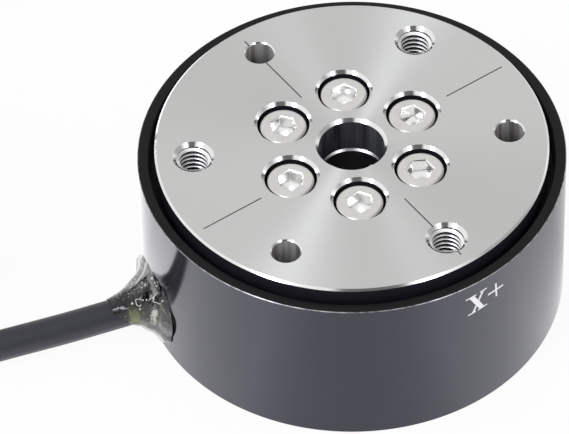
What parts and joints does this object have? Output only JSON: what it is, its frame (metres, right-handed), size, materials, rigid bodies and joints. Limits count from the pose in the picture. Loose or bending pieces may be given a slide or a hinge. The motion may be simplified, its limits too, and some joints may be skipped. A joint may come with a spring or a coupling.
{
  "type": "force torque sensor",
  "caption": "Round force torque sensor: a black cup with a bright bolted tool plate proud of its rim, a centre bore and a side cable.",
  "frame": {"origin": "centre of the underside, on the sensor's axis", "axes": "+Z out of the tool plate's face; +X is the sensor's own X axis, through one of the tool plate's threads"},
  "size_m": [0.1518, 0.1721, 0.0337],
  "materials": {
    "anodised_black": "black anodised, satin",
    "plate_metal": "fine turned face",
    "element_metal": "machined",
    "screw_steel": "bright",
    "gauge_foil": "satin",
    "soft_seal": "matte",
    "board_green": "satin",
    "post_brass": "machined",
    "chip_black": "matte",
    "capacitor_tan": "matte",
    "header_ivory": "satin",
    "wire_colours": "satin",
    "inner_jacket": "satin",
    "clear_compound": "clear, glossy",
    "cable_sheath": "matte",
    "tie_black": "satin",
    "grip_black": "satin",
    "nut_nickel": "nickel plated",
    "pin_gold": "gold plated"
  },
  "bodies": {
    "root": {"casing": "anodised_black", "elastic_element": "element_metal", "ring_screws": "screw_steel", "strain_gauges": "gauge_foil", "hub_pins": "screw_steel", "bore_seal": "soft_seal", "top_plate": "plate_metal", "top_plate_screws": "screw_steel", "gap_seal": "soft_seal", "circuit_board": "board_green", "board_posts": "post_brass", "board_screws": "screw_steel", "board_chips": "chip_black", "board_capacitors": "capacitor_tan", "board_header": "header_ivory", "wire_plug": "header_ivory", "core_wires": "wire_colours", "inner_jacket": "inner_jacket", "cable_glue": "clear_compound", "cable": "cable_sheath", "cable_coil": "cable_sheath", "cable_tail": "cable_sheath", "coil_ties": "tie_black", "plug_grip": "grip_black", "plug_nut": "nut_nickel", "plug_insert": "chip_black", "plug_pins": "pin_gold"}
  },
  "joints": []
}
